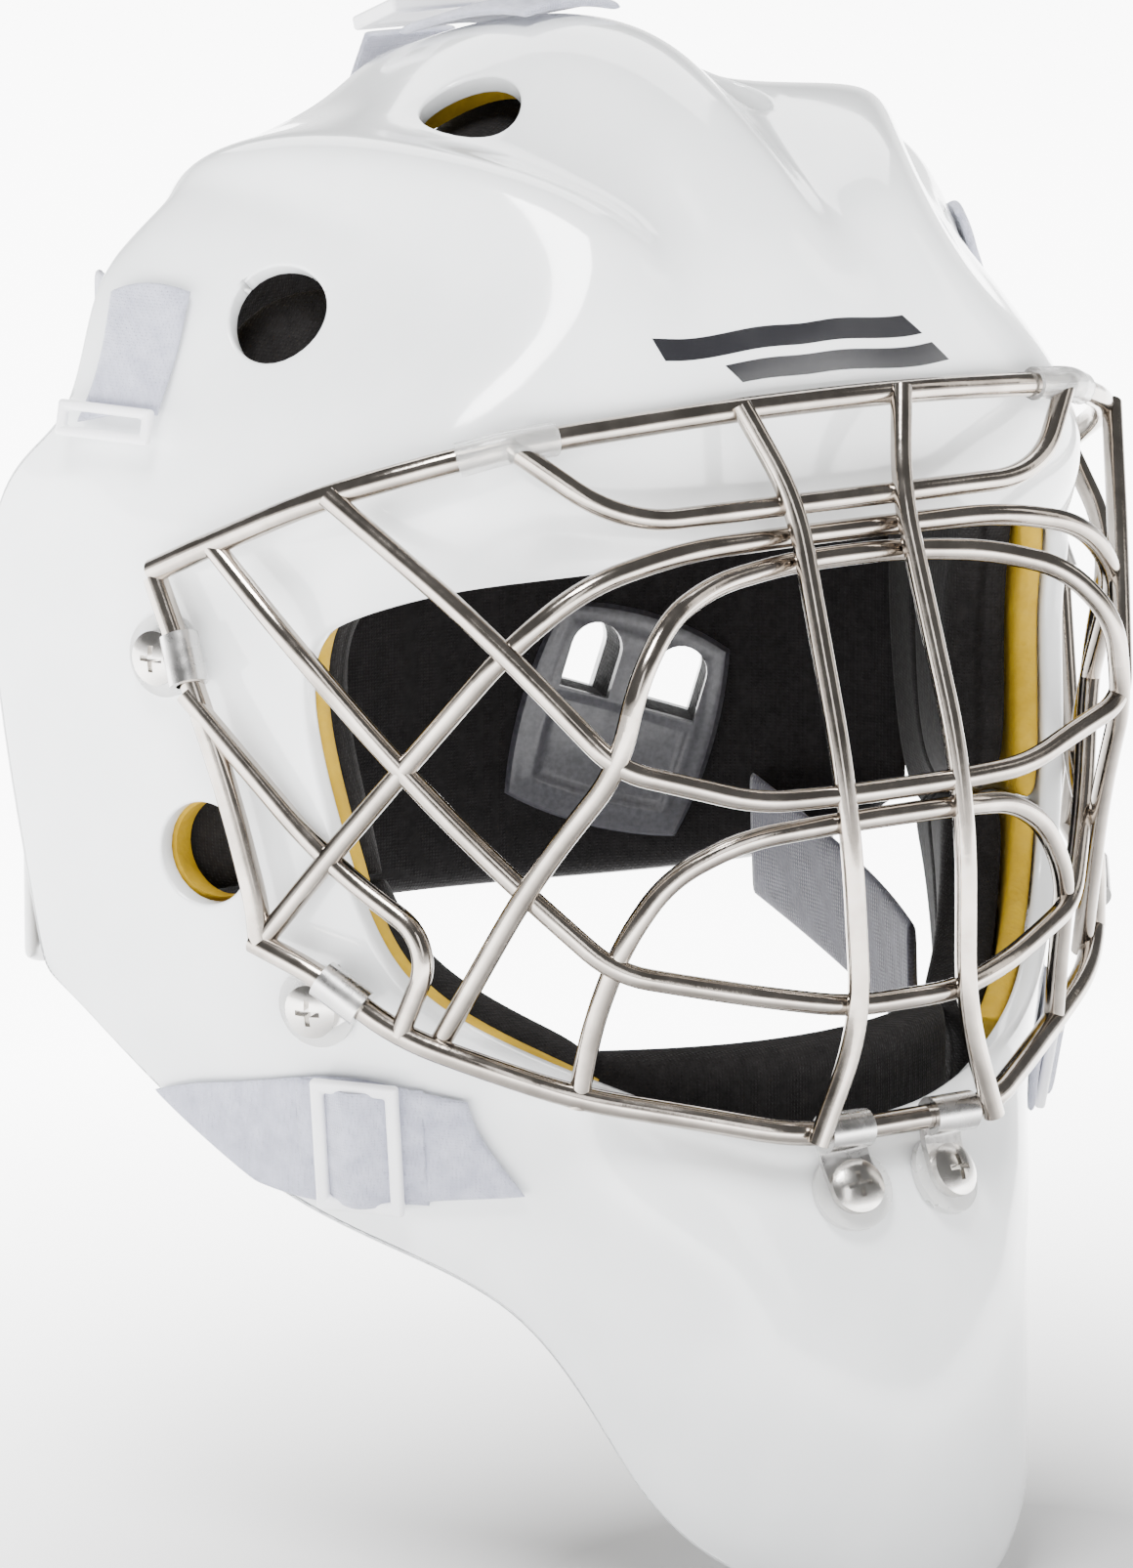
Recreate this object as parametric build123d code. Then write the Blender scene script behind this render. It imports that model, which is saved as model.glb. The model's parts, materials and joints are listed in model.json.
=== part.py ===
"""Ice hockey goalie mask: composite shell, welded wire cage, foam liner, backplate and straps.

Frame: millimetres, +Z up, +X to the wearer's left, the face looks along -Y, and X = 0 is the plane
of symmetry. The origin is in the middle of the head cavity, level with the eyes. The mask leans back
as it does on a raised head.
"""
from build123d import *
import math
import os
import numpy as np

os.makedirs("parts", exist_ok=True)

# ---- driving dimensions -------------------------------------------------------------------------
SHELL_THICKNESS = 4.5
LINER_THICKNESS = 5.0
PAD_THICKNESS = 13.0
LAYER_GAP = 0.35
PAD_GAP = 0.8
RIM_WIRE = 4.8            # diameter of the bars that frame the cage
FACE_WIRE = 4.2           # diameter of the wires that cross the face
SLEEVE_WALL = 0.9
VENT_DIAMETER = 20.0
WASHER_DIAMETER = 16.0
WASHER_HEIGHT = 1.4
STRIP_THICKNESS = 1.3     # steel strip of the cage clips
STRIP_WIDTH = 10.0
SCREW_HEAD = 10.6
SCREW_SHANK = 3.8
SCREW_HOLE = 4.4
STRAP_WIDTH = 25.0
STRAP_THICKNESS = 2.0
BACKPLATE_THICKNESS = 3.0
SURFACE_TOLERANCE = 0.02

# ---- shell surface ------------------------------------------------------------------------------
# Each meridian runs over the outer surface of the right half from the rim of the face opening to the
# rear or lower edge, as (half width, y, z). They go round the opening from the crown to the chin.
MERIDIANS = {
    "ridge": [(0, -79, 60), (0, -77.5, 79), (0, -76, 98), (0, -68, 117), (0, -52, 133),
              (0, -30, 146), (0, 5, 153.5), (0, 50, 144)],
    "ridge flank": [(14, -78.5, 59.7), (13, -77, 79), (11, -75.5, 98), (11, -66, 117), (12, -49.5, 131),
                    (14, -27, 142.5), (17, 5, 149.5), (18, 48, 140.5)],
    "valley": [(30, -77, 59.3), (30, -76.5, 78), (27, -74.5, 97), (23, -64, 115), (25, -46, 125),
               (33, -20, 133.5), (39, 6, 138.5), (38, 41, 133)],
    "crease": [(48, -72, 57.5), (48, -73.5, 77), (44, -71.5, 97), (38, -65, 115), (42, -49, 127.5),
               (57, -22, 134), (71, 7, 134), (68, 34, 125)],
    "temple": [(70, -62, 55), (71, -67, 73), (67, -63, 89), (61, -55, 101), (61, -40, 112),
               (68, -20, 121), (81, 7, 126), (83, 23, 119)],
    "upper side": [(84, -50, 50), (87, -50, 66), (86, -42, 81), (83, -32, 94), (82, -18, 105),
                   (87, -5, 112), (94, 8, 113), (99, 20, 106)],
    "notch": [(91, -43, 44), (95, -31, 54), (98, -20, 63), (101, -10, 70), (103, -2, 76),
              (106, 5.5, 79.5), (108, 12, 81), (109.5, 18, 82)],
    "ear": [(91.3, -41, 30), (96, -28, 33), (101, -14, 36), (106, 0, 40), (110, 12, 44),
            (113, 23, 48), (114.5, 30, 51), (115, 35, 53)],
    "lower ear": [(88, -46, 6), (94, -31, 5), (100, -17, 4), (105, -5, 2), (109, 7, -2),
                  (111.5, 15, -7), (113, 20, -11), (113.7, 23, -14)],
    "corner": [(80, -54, -19), (87, -42, -22), (92, -32, -25), (96.5, -22, -28), (101, -12, -30),
               (106, -1, -31), (109, 6, -32), (111.3, 11, -32)],
    "jaw": [(66, -68, -32), (72, -60, -39), (77, -51.5, -45), (81, -44, -50.5), (84, -38, -55),
            (86.5, -33, -59), (88.5, -29.5, -62), (90, -27, -65)],
    "lower jaw": [(48, -82, -40.5), (54, -78.5, -48), (57.5, -74, -56), (59, -70.5, -64),
                  (60.5, -68.5, -71), (61.5, -67.5, -77), (62, -67, -82), (62, -66.5, -86)],
    "chin side": [(27, -90, -46.5), (35, -95, -55), (40, -97, -68), (41, -95, -83), (43, -91.5, -97),
                  (44.5, -88.5, -108), (45, -87.5, -115), (45, -87, -120)],
    "chin corner": [(14, -92.5, -49), (19, -102, -56), (23, -108, -69), (26, -111, -85),
                    (28, -111.5, -101), (29, -111, -116), (29.5, -110, -128), (28, -108, -137)],
    "chin": [(0, -93, -50), (0, -105, -55), (0, -112, -68), (0, -116, -85), (0, -119, -102),
             (0, -120.5, -118), (0, -121, -132), (0, -120, -143)],
}
LAST = len(MERIDIANS) - 1
OVERRUN = 5
HEAD_CENTRE = np.array([0.0, 25.0, 10.0])


def spline_through(points, places):
    """Natural cubic spline through points numbered 0, 1, 2 and on, read at fractional places."""
    points = np.asarray(points, float)
    places = np.asarray(places, float)
    count = len(points)
    flat = points.reshape(count, -1)
    matrix = 4 * np.eye(count) + np.eye(count, k=1) + np.eye(count, k=-1)
    matrix[0] = np.eye(count)[0]
    matrix[-1] = np.eye(count)[-1]
    change = np.zeros_like(flat)
    change[1:-1] = 6 * (flat[2:] - 2 * flat[1:-1] + flat[:-2])
    bend = np.linalg.solve(matrix, change)
    low = np.clip(np.floor(places).astype(int), 0, count - 2)
    t = (places - low)[:, None]
    s = 1 - t
    curve = s * flat[low] + t * flat[low + 1] + ((s**3 - s) * bend[low] + (t**3 - t) * bend[low + 1]) / 6
    return curve.reshape((len(places),) + points.shape[1:])


def mirrored(rows):
    return rows * np.array([-1.0, 1.0, 1.0])


RIGHT = mirrored(np.array(list(MERIDIANS.values()), float))
FULL_TURN = np.concatenate([mirrored(RIGHT[OVERRUN:0:-1]), RIGHT, mirrored(RIGHT[-2:-2 - OVERRUN:-1])])


def outer_surface(around, along):
    """Points of the shell's outer surface, where 'around' counts meridians and 'along' goes 0 to 7."""
    across = spline_through(FULL_TURN, np.asarray(around, float) + OVERRUN)
    return np.swapaxes(spline_through(np.swapaxes(across, 0, 1), along), 0, 1)


def outward(around, along):
    step = 0.02
    around = np.asarray(around, float)
    along = np.asarray(along, float)
    turn = outer_surface(around + step, along) - outer_surface(around - step, along)
    run = outer_surface(around, along + step) - outer_surface(around, along - step)
    normal = np.cross(run, turn)
    return normal / np.linalg.norm(normal, axis=2, keepdims=True)


def surface_strip(stations, depth, length_steps=13, width_steps=5):
    """Grid of points under a strip of the shell that runs through stations.

    Each station is the strip's top and bottom edge there, as (around, along).
    """
    lines = spline_through(stations, np.linspace(0, len(stations) - 1, length_steps))
    grid = np.zeros((length_steps, width_steps, 3))
    for i, (top, bottom) in enumerate(lines):
        for j, s in enumerate(np.linspace(0, 1, width_steps)):
            place = (1 - s) * top + s * bottom
            point = outer_surface([place[0]], [place[1]])[0, 0]
            grid[i, j] = point - depth * outward([place[0]], [place[1]])[0, 0]
    return grid


def layer(around, along, depth, towards_head=False):
    """The outer surface moved inwards by 'depth', along its normals or towards the head."""
    surface = outer_surface(around, along)
    if towards_head:
        aim = HEAD_CENTRE - surface
        return surface + depth * aim / np.linalg.norm(aim, axis=2, keepdims=True)
    return surface - depth * outward(around, along)


def skin(grid):
    rows = [[tuple(map(float, point)) for point in row] for row in grid]
    return Face.make_surface_from_array_of_points(rows, tol=SURFACE_TOLERANCE)


def slab(upper_grid, lower_grid):
    """Solid between two skins, closed by ruled faces from each edge to the nearest one."""
    upper = skin(upper_grid)
    lower = skin(lower_grid)
    sides = []
    for edge in upper.edges():
        partner = min(lower.edges(), key=lambda other: (other @ 0.5 - edge @ 0.5).length)
        sides.append(Face.make_surface_from_curves(edge, partner))
    return Solid(Shell([upper, lower, *sides]))


def surface_slab(around, along, top, bottom):
    """Part of the shell's wall or lining, between two depths under the outer surface."""
    return slab(layer(around, along, top), layer(around, along, bottom))


def surface_plane(around, along, lift=0.0, side=1):
    """Plane on the outer surface, raised by 'lift', with z outwards. Side -1 is the left half."""
    flip = np.array([side, 1.0, 1.0])
    place = outer_surface([around], [along])[0, 0] * flip
    normal = outward([around], [along])[0, 0] * flip
    return Plane(origin=tuple(place + lift * normal), z_dir=tuple(normal))


def flipped(points, side):
    """Points given for the left half (+X), put on the side wanted: 1 left, -1 right."""
    return [(side * x, y, z) for x, y, z in points]


def across_face(points):
    """A wire given from the left end to the plane of symmetry, continued to the right end."""
    return points + [(-x, y, z) for x, y, z in reversed(points) if x > 0]


def rod(points, diameter):
    """Round wire along straight runs with a bend as large as the runs allow at each corner."""
    corners = [Vector(*point) for point in points]
    radii = []
    for before, corner, after in zip(corners, corners[1:], corners[2:]):
        turn = math.radians((corner - before).get_angle(after - corner))
        run = min((corner - before).length, (after - corner).length)
        radii.append(BEND_SHARE * run / math.tan(turn / 2))
    path = FilletPolyline(*corners, radius=radii) if radii else Line(*corners)
    section = Plane(origin=path @ 0, z_dir=path % 0) * Circle(diameter / 2)
    return sweep(section, path=path)


def write(name, solid):
    export_step(solid, f"parts/{name}.step")


def write_pair(name, right):
    """Write a part of the right half and its mirror image."""
    write(f"{name}_right", right)
    write(f"{name}_left", mirror(right, about=Plane.YZ))


# ---- shell --------------------------------------------------------------------------------------
SEAM_OVERLAP = 0.25
HALF_WAY_ROUND = np.linspace(-SEAM_OVERLAP, LAST + SEAM_OVERLAP, 4 * LAST + 3)
RIM_TO_EDGE = np.linspace(0, 7, 15)
VENTS = {"ear": (8.1, 2.02), "upper side": (5.02, 3.95), "top": (1.77, 5.5)}
CLIPS = {"side": (6.95, 2.3), "lower": (9.14, 1.45), "chin": (13.5, 1.45)}


def drilled(solid, place, diameter, depth=60.0):
    """A round hole square to the shell's surface at a place given as (around, along)."""
    plane = surface_plane(*place)
    return solid - plane * Cylinder(diameter / 2, depth)


def shell():
    half = surface_slab(HALF_WAY_ROUND, RIM_TO_EDGE, 0, SHELL_THICKNESS)
    half = split(half, bisect_by=Plane.YZ, keep=Keep.BOTTOM)
    for place in VENTS.values():
        half = drilled(half, place, VENT_DIAMETER, depth=40)
    for place in CLIPS.values():
        half = drilled(half, place, SCREW_HOLE, depth=30)
    return half + mirror(half, about=Plane.YZ)


# ---- cage ---------------------------------------------------------------------------------------
BEND_SHARE = 0.45
TOP_BAR = [(106.3, -11.2, 55.8), (102.8, -26.2, 62.8), (93.9, -52.4, 75.0), (66.4, -72.9, 84.6),
           (19.1, -80.8, 88.2)]
SIDE_BAR = [(106.2, -11.6, 54.5), (104.3, -22.5, 33.5), (100.8, -28.8, 14.0), (98.2, -34.0, -6.0),
            (98.0, -35.2, -14.6)]
BOTTOM_BAR = [(98.6, -33.6, -13.6), (93.0, -48.0, -18.6), (84.0, -61.4, -29.0), (72.0, -74.1, -34.6),
              (57.0, -82.7, -40.8), (39.0, -96.0, -44.4), (22.0, -107.6, -48.2)]
EYE_OUTER = [(98.0, -34.6, -14.4), (90.0, -47.6, 4.6), (82.5, -60.6, 22.0), (72.7, -81.4, 47.4),
             (59.0, -88.0, 59.4), (38.0, -90.0, 64.0), (11.5, -87.6, 63.9)]
EYE_INNER = [(78.0, -64.8, -32.2), (68.0, -83.0, 3.2), (60.0, -99.6, 26.0), (56.5, -101.4, 43.0),
             (47.0, -98.0, 53.5), (32.5, -92.5, 57.6), (11.7, -89.4, 59.4)]
EYE_LOWER = [(93.9, -52.4, 75.0), (76.0, -77.8, 51.5), (60.0, -99.8, 26.0), (46.5, -102.2, 22.0),
             (32.0, -106.0, 17.6), (13.8, -107.9, 17.2)]
MOUTH_UPPER = [(57.2, -82.4, -42.4), (56.0, -85.6, -26.0), (53.0, -91.6, -9.5), (45.0, -95.0, 2.6),
               (32.0, -101.0, 9.6), (13.5, -108.3, 12.2)]
MOUTH_LOWER = [(102.8, -26.2, 62.8), (98.5, -47.0, 46.2), (82.5, -60.4, 22.0), (69.0, -76.6, 2.2),
               (54.6, -91.2, -15.2), (42.0, -98.0, -18.0), (28.0, -105.2, -20.8), (12.6, -109.7, -23.6)]
BROW = [(66.4, -72.9, 84.6), (49.4, -86.5, 69.7), (12.5, -88.6, 70.2)]
CHEEK = [(105.8, -21.3, 33.5), (90.0, -45.6, 3.1), (79.5, -67.2, -10.8), (84.0, -61.6, -28.8)]
VERTICAL = [(19.1, -82.0, 89.2), (12.5, -90.8, 71.0), (13.8, -110.6, 15.0), (12.4, -112.6, -26.4),
            (21.1, -110.6, -49.2)]
SLEEVED = [(74.0, -67.3, 81.9), (66.9, -72.5, 84.4), (57.0, -74.5, 85.3)]


def cage():
    for name, points in (("cage_top_bar", TOP_BAR), ("cage_bottom_bar", BOTTOM_BAR)):
        write(name, rod(across_face(points), RIM_WIRE))
    write_pair("cage_side_bar", rod(flipped(SIDE_BAR, -1), RIM_WIRE))
    across = {"wire_eye_outer": EYE_OUTER, "wire_eye_inner": EYE_INNER, "wire_eye_lower": EYE_LOWER,
              "wire_mouth_upper": MOUTH_UPPER, "wire_mouth_lower": MOUTH_LOWER, "wire_brow": BROW}
    for name, points in across.items():
        write(name, rod(across_face(points), FACE_WIRE))
    write_pair("wire_cheek", rod(flipped(CHEEK, -1), FACE_WIRE))
    write_pair("wire_vertical", rod(flipped(VERTICAL, -1), FACE_WIRE))
    bore = rod(flipped(SLEEVED, -1), RIM_WIRE + 0.1)
    write_pair("sleeve", rod(flipped(SLEEVED, -1), RIM_WIRE + 2 * SLEEVE_WALL) - bore)


# ---- clips that hold the cage -------------------------------------------------------------------
CLIP_BARS = {"side": ((-104.85, -19.4, 39.5), (-0.9, -5.0, -9.5)),
             "lower": ((-90.5, -51.9, -21.6), (9.0, -13.4, -10.4)),
             "chin": ((-12.6, -107.6, -48.2), (-1, 0, 0))}


def clip(name):
    """Steel strip bent round a bar of the cage, with its flat end on the washer."""
    plane = surface_plane(*CLIPS[name], lift=WASHER_HEIGHT)
    centre, direction = CLIP_BARS[name]
    bar = Plane(origin=centre, z_dir=direction)
    inner = RIM_WIRE / 2 + 0.1
    outer = inner + STRIP_THICKNESS
    reach = plane.to_local_coords(Vector(*centre))
    length = math.hypot(reach.X, reach.Y)
    turn = math.degrees(math.atan2(reach.Y, reach.X))
    flat = SCREW_HEAD / 2 + 0.4
    rise = reach.Z - inner - STRIP_THICKNESS
    slope = math.degrees(math.atan2(rise, length - flat))
    ramp = math.hypot(length - flat, rise)
    tab = Pos(flat / 2, 0, STRIP_THICKNESS / 2) * Box(flat, STRIP_WIDTH, STRIP_THICKNESS)
    tab += Pos(0, 0, STRIP_THICKNESS / 2) * Cylinder(STRIP_WIDTH / 2, STRIP_THICKNESS)
    tab += (Pos(flat, 0, STRIP_THICKNESS / 2) * Rot(0, -slope, 0) * Pos(ramp / 2, 0, 0)
            * Box(ramp + 0.6, STRIP_WIDTH, STRIP_THICKNESS))
    strip = plane * Rot(0, 0, turn) * tab + bar * Cylinder(outer, STRIP_WIDTH)
    strip -= bar * Cylinder(inner, 2 * STRIP_WIDTH)
    return strip - plane * Cylinder(SCREW_HOLE / 2, 20)


def screw(name):
    """Pan-head cross-recess screw through the strip, the washer and the shell."""
    plane = surface_plane(*CLIPS[name], lift=WASHER_HEIGHT + STRIP_THICKNESS)
    grip = WASHER_HEIGHT + STRIP_THICKNESS + SHELL_THICKNESS
    head_height = 2.8
    dome = Pos(0, 0, head_height - SCREW_HEAD) * Sphere(SCREW_HEAD)
    head = Pos(0, 0, head_height / 2) * Cylinder(SCREW_HEAD / 2, head_height) & dome
    for angle in (0, 90):
        head -= Pos(0, 0, head_height) * Rot(0, 0, angle) * Box(5.2, 1.1, 3.0)
    shank = Pos(0, 0, -grip / 2) * Cylinder(SCREW_SHANK / 2, grip)
    return plane * (head + shank)


def washer(name):
    ring = Cylinder(WASHER_DIAMETER / 2, WASHER_HEIGHT) - Cylinder(SCREW_HOLE / 2, WASHER_HEIGHT)
    return surface_plane(*CLIPS[name], lift=WASHER_HEIGHT / 2) * ring


# ---- lining -------------------------------------------------------------------------------------
LINER_TOP = SHELL_THICKNESS + LAYER_GAP
LINER_BOTTOM = LINER_TOP + LINER_THICKNESS
PAD_TOP = LINER_BOTTOM + PAD_GAP
LINER_HOLES = {"ear": 19.0, "upper side": 30.0, "top": 30.0}
PAD_REAR_THICKNESS = 8.0
CHIN_PAD_THICKNESS = 12.0
CHIN_PAD_HALF_WIDTH = 42.0
CHIN_PAD_FRONT = -83.5
CHIN_PAD_BOW = 13.1
CHIN_PAD_LOW = -74.0
CHIN_PAD_HIGH = -37.0


def counted(start, end, step=0.25):
    return np.linspace(start, end, max(5, int(round((end - start) / step)) + 1))


def pad(around, along, rear_thickness=PAD_THICKNESS):
    """Foam block whose back follows the liner and whose face is drawn towards the head."""
    around = counted(*around)
    along = counted(*along, step=0.5)
    depth = np.linspace(PAD_TOP + PAD_THICKNESS, PAD_TOP + rear_thickness, len(along))[:, None]
    return slab(layer(around, along, PAD_TOP), layer(around, along, depth, True))


def chin_layer(depth):
    """Upright layer of the chin pad, curved round the chin, moved back towards the head by 'depth'."""
    reach = np.linspace(-CHIN_PAD_HALF_WIDTH, CHIN_PAD_HALF_WIDTH, 13)
    heights = np.linspace(CHIN_PAD_LOW, CHIN_PAD_HIGH, 5)
    return np.array([[(x, CHIN_PAD_FRONT + CHIN_PAD_BOW * (x / CHIN_PAD_HALF_WIDTH) ** 2 + depth, z)
                      for z in heights] for x in reach])


def lining():
    side = surface_slab(counted(0.15, 10.9), counted(0.04, 6.6, 0.5), LINER_TOP, LINER_BOTTOM)
    for name, place in VENTS.items():
        side = drilled(side, place, LINER_HOLES[name], depth=60)
    write_pair("liner", side)
    write("pad_forehead", pad((-3.0, 3.0), (0.5, 3.2)))
    write("pad_crown", pad((-3.0, 3.0), (3.4, 6.4)))
    write_pair("pad_temple", pad((3.2, 8.4), (0.14, 4.6), PAD_REAR_THICKNESS))
    write_pair("pad_cheek", pad((8.45, 10.95), (0.14, 4.4), PAD_REAR_THICKNESS))
    write("pad_chin", slab(chin_layer(0), chin_layer(CHIN_PAD_THICKNESS)))


# ---- straps on the shell ------------------------------------------------------------------------
STRAP_LIFT = 0.4
JAW_STRAP = [[(10.25, 1.2), (10.95, 2.8)], [(9.72, 1.9), (10.52, 4.3)], [(9.5, 3.7), (10.2, 5.9)],
             [(9.5, 6.85), (9.95, 6.97)]]
TEMPLE_STRAP = [[(5.2, 5.0), (5.2, 6.4)], [(5.78, 4.15), (5.98, 5.95)]]
TOP_STRAP = [[(-0.65, 5.9), (0.65, 5.9)], [(-0.65, 6.85), (0.65, 6.85)]]
GLIDE_PLACE = (10.08, 3.25)
LOOP_PLACE = (5.92, 5.0)


def on_shell(stations, lift=STRAP_LIFT, thickness=STRAP_THICKNESS):
    return slab(surface_strip(stations, -lift - thickness), surface_strip(stations, -lift))


def frame_at(plane, length, width, bar, height, bars=1):
    """Rectangular ring lying in a plane, with as many cross-bars as asked."""
    ring = Box(length, width, height) - Box(length - 2 * bar, width - 2 * bar, height)
    for index in range(bars):
        offset = (index + 1) * length / (bars + 1) - length / 2
        ring += Pos(offset, 0, 0) * Box(bar, width, height)
    return plane * ring


def along_plane(place, towards, lift):
    """Plane on the shell with its x axis pointing to another place on the shell."""
    plane = surface_plane(*place, lift=lift)
    target = Vector(*outer_surface([towards[0]], [towards[1]])[0, 0])
    x_dir = target - plane.origin
    x_dir = x_dir - plane.z_dir * x_dir.dot(plane.z_dir)
    return Plane(origin=plane.origin, x_dir=x_dir, z_dir=plane.z_dir)


def straps():
    top = STRAP_LIFT + STRAP_THICKNESS
    write_pair("strap_jaw", on_shell(JAW_STRAP))
    write_pair("strap_temple", on_shell(TEMPLE_STRAP))
    write("strap_top", on_shell(TOP_STRAP, lift=1.5))
    glide = along_plane(GLIDE_PLACE, (10.6, 2.2), top + 2.15)
    write_pair("triglide", frame_at(glide, 18, STRAP_WIDTH + 2, 2.6, 2.2))
    loop = along_plane(LOOP_PLACE, (5.96, 6.0), top + 1.6)
    write_pair("strap_loop", frame_at(loop, 21, 7, 2.0, 2.2, bars=0))
    buckle = Plane(origin=(0, 47.5, 150.5), x_dir=(1, 0, 0), z_dir=(0, 0.35, 0.94))
    write("buckle_top", frame_at(buckle, 32, 16, 3.0, 3.0, bars=0))


# ---- backplate, which swings on the top strap ----------------------------------------------------
BACK_HALF_WIDTH = 116.0
BACK_DEPTH = 85.0
BACK_CENTRE_Y = 5.0
BACK_TURN = math.radians(60)
BACK_LOW = -40.0
BACK_HIGH = 104.0
BACK_LOW_ROUNDING = 8.5
BACK_HIGH_ROUNDING = 31.0
BACK_FOAM = 15.0                      # from the plate's outside to the foam's inside
WING_TURN = math.radians(76)          # the foam runs on inside the shell's sides
WING_START = math.radians(58)
WING_INSET = 12.3
FRAME_CENTRE = (33.5, -3.5)           # turn in degrees and height
FRAME_SIZE = (38.0, 42.0)
FRAME_TILT = math.radians(-17)
FRAME_RADIUS = 92.0                   # of the foam's inside, turns widths into angles
WINDOWS = [(-9.5, 8.5), (9.5, 8.5)]   # across and up from the frame's centre
WINDOW_WIDTH = 11.0
WINDOW_HEIGHT = 15.0


def back_point(turn, height, inset):
    """Point of the backplate at an angle from the middle and a height, moved in by 'inset'."""
    rise = max(0.0, height - 25.0) / 80.0
    x = (BACK_HALF_WIDTH - inset) * (1 - 0.2 * rise**2) * math.sin(turn)
    y = BACK_CENTRE_Y + (BACK_DEPTH - inset) * (1 - 0.2 * rise**2) * math.cos(turn)
    return (x, y, height)


def back_edge(turn):
    """Lowest and highest height of the plate at an angle: its corners are rounded."""
    edge = abs(turn / BACK_TURN) ** 4
    return BACK_LOW + BACK_LOW_ROUNDING * edge, BACK_HIGH - BACK_HIGH_ROUNDING * edge


def wing_inset(turn):
    """The foam's outside leaves the plate where the plate ends and the foam thins out."""
    share = max(0.0, (abs(turn) - WING_START) / (WING_TURN - WING_START))
    start = BACKPLATE_THICKNESS + LAYER_GAP
    return start + share * (WING_INSET - start)


def back_layer(reach, inset, margin=0.0, steps=33):
    rows = []
    for turn in np.linspace(-reach, reach, steps):
        low, high = back_edge(turn)
        depth = inset(turn) if callable(inset) else inset
        rows.append([back_point(turn, height, depth) for height in np.linspace(low + margin, high - margin, 11)])
    return np.array(rows)


def frame_point(across, up, inset):
    """Point of the window frame, laid tilted on the inside of the foam."""
    angle, height = FRAME_CENTRE
    across, up = (across * math.cos(FRAME_TILT) - up * math.sin(FRAME_TILT),
                  across * math.sin(FRAME_TILT) + up * math.cos(FRAME_TILT))
    turn = math.radians(angle) + across / FRAME_RADIUS
    return back_point(-turn, height + up, inset)


def frame_layer(inset):
    width, height = FRAME_SIZE
    return np.array([[frame_point(across, up, inset) for up in np.linspace(-height / 2, height / 2, 7)]
                     for across in np.linspace(-width / 2, width / 2, 9)])


def window(across, up):
    """Arched hole square to the backplate's inside, through frame, foam and plate."""
    centre = Vector(*frame_point(across, up, BACK_FOAM))
    above = Vector(*frame_point(across, up + 1, BACK_FOAM))
    beside = Vector(*frame_point(across + 1, up, BACK_FOAM))
    x_dir = above - centre
    plane = Plane(origin=centre, x_dir=x_dir, z_dir=x_dir.cross(beside - centre))
    radius = WINDOW_WIDTH / 2
    opening = Box(WINDOW_HEIGHT - radius, WINDOW_WIDTH, 60)
    return plane * (opening + Pos((WINDOW_HEIGHT - radius) / 2, 0, 0) * Cylinder(radius, 60))


def backplate():
    right = [window(across, up) for across, up in WINDOWS]
    holes = right + [mirror(hole, about=Plane.YZ) for hole in right]
    plate = slab(back_layer(BACK_TURN, 0), back_layer(BACK_TURN, BACKPLATE_THICKNESS))
    foam = slab(back_layer(WING_TURN, wing_inset, 2.0), back_layer(WING_TURN, BACK_FOAM, 2.0))
    frame = slab(frame_layer(BACK_FOAM + 0.3), frame_layer(BACK_FOAM + 2.0))
    for hole in holes:
        plate -= hole
        foam -= hole
        frame -= hole
    write("backplate", plate)
    write("backplate_foam", foam)
    write_pair("backplate_frame", frame)


def ribbon(points, across, thickness):
    """Flat band through points, its width given by the vector 'across'."""
    path = spline_through(np.array(points, float), np.linspace(0, len(points) - 1, 4 * len(points)))
    across = np.array(across, float)
    run = np.gradient(path, axis=0)
    normal = np.cross(run, across)
    normal /= np.linalg.norm(normal, axis=1, keepdims=True)
    shares = np.linspace(-0.5, 0.5, 5)
    top = np.array([[point + share * across for share in shares] for point in path + normal * thickness / 2])
    low = np.array([[point + share * across for share in shares] for point in path - normal * thickness / 2])
    return slab(top, low)


BAND_WIDTH = 22.0
TEMPLE_BAND_WIDTH = 14.0
JAW_BAND_WIDTH = 26.0


def rear_straps():
    """Elastic bands: one inside each jaw, one behind each temple, one down the middle."""
    write_pair("band_jaw", ribbon([(-79, 47, -28), (-78, 24, -34.5), (-76, 0, -42), (-73, -16, -48)],
                                  (1, 0, JAW_BAND_WIDTH), STRAP_THICKNESS))
    write_pair("band_temple", ribbon([(-84, 10, 97), (-84.5, 25, 98), (-81, 44, 97), (-71.5, 62.5, 95)],
                                     (0, 0, TEMPLE_BAND_WIDTH), STRAP_THICKNESS))
    write("band_top", ribbon([(0, 57.8, 145), (0, 66, 131), (0, 75, 114), (0, 84, 92)],
                             (BAND_WIDTH, 0, 0), STRAP_THICKNESS))


write("shell", shell())
cage()
for name in CLIPS:
    write_pair(f"clip_{name}", clip(name))
    write_pair(f"screw_{name}", screw(name))
rings = Compound([washer(name) for name in CLIPS])
write("cage_washers", Compound([rings, mirror(rings, about=Plane.YZ)]))
lining()
straps()
backplate()
rear_straps()
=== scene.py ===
"""Looks of an ice hockey goalie mask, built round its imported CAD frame."""
import json
import math
import bpy
import numpy as np
from mathutils import Matrix, Vector


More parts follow.
